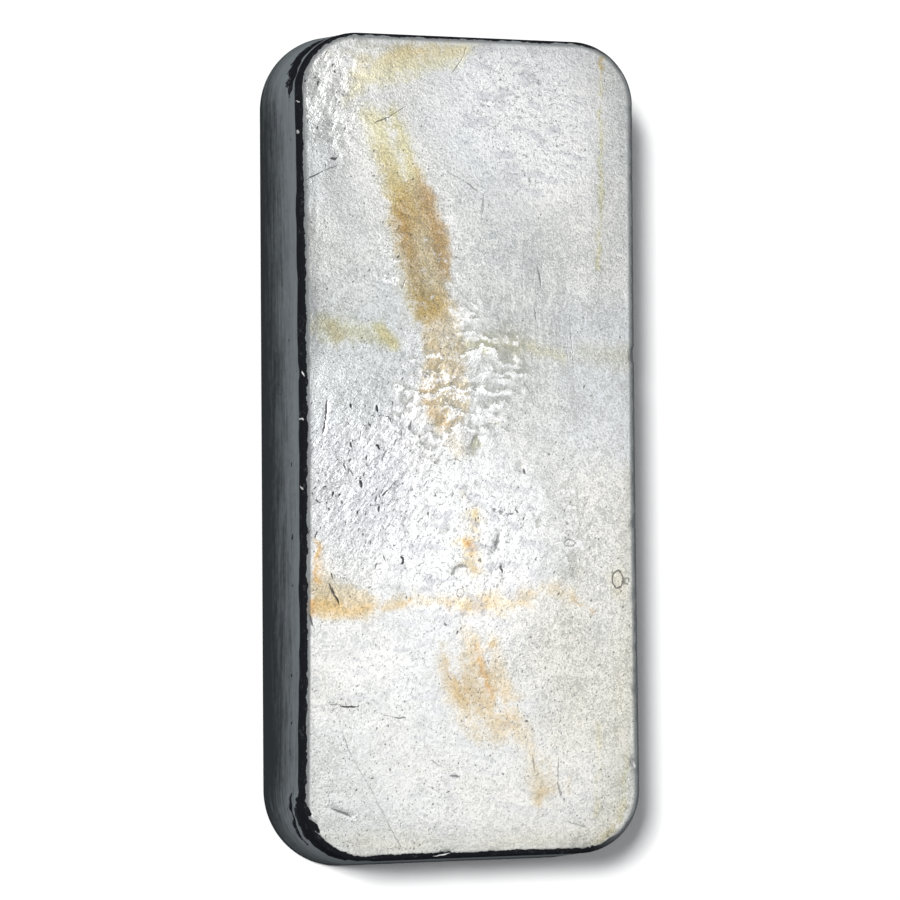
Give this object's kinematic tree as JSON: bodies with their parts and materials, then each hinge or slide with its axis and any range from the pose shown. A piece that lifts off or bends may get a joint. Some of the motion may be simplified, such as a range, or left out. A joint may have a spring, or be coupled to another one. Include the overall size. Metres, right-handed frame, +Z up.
{
  "type": "cast silver ingot",
  "caption": "Poured silver bar: a long drafted block with round corners, a bright stained mould-floor face, dark walls and a shallow sunk underside.",
  "frame": {"origin": "centre of the footprint, on the plane that the bar rests on", "axes": "+Z up, out of the narrower mould-floor face; +Y along the bar; +X across it"},
  "size_m": [0.0764, 0.171, 0.0248],
  "materials": {
    "silver": "satin"
  },
  "bodies": {
    "root": {"silver_bar": "silver"}
  },
  "joints": []
}
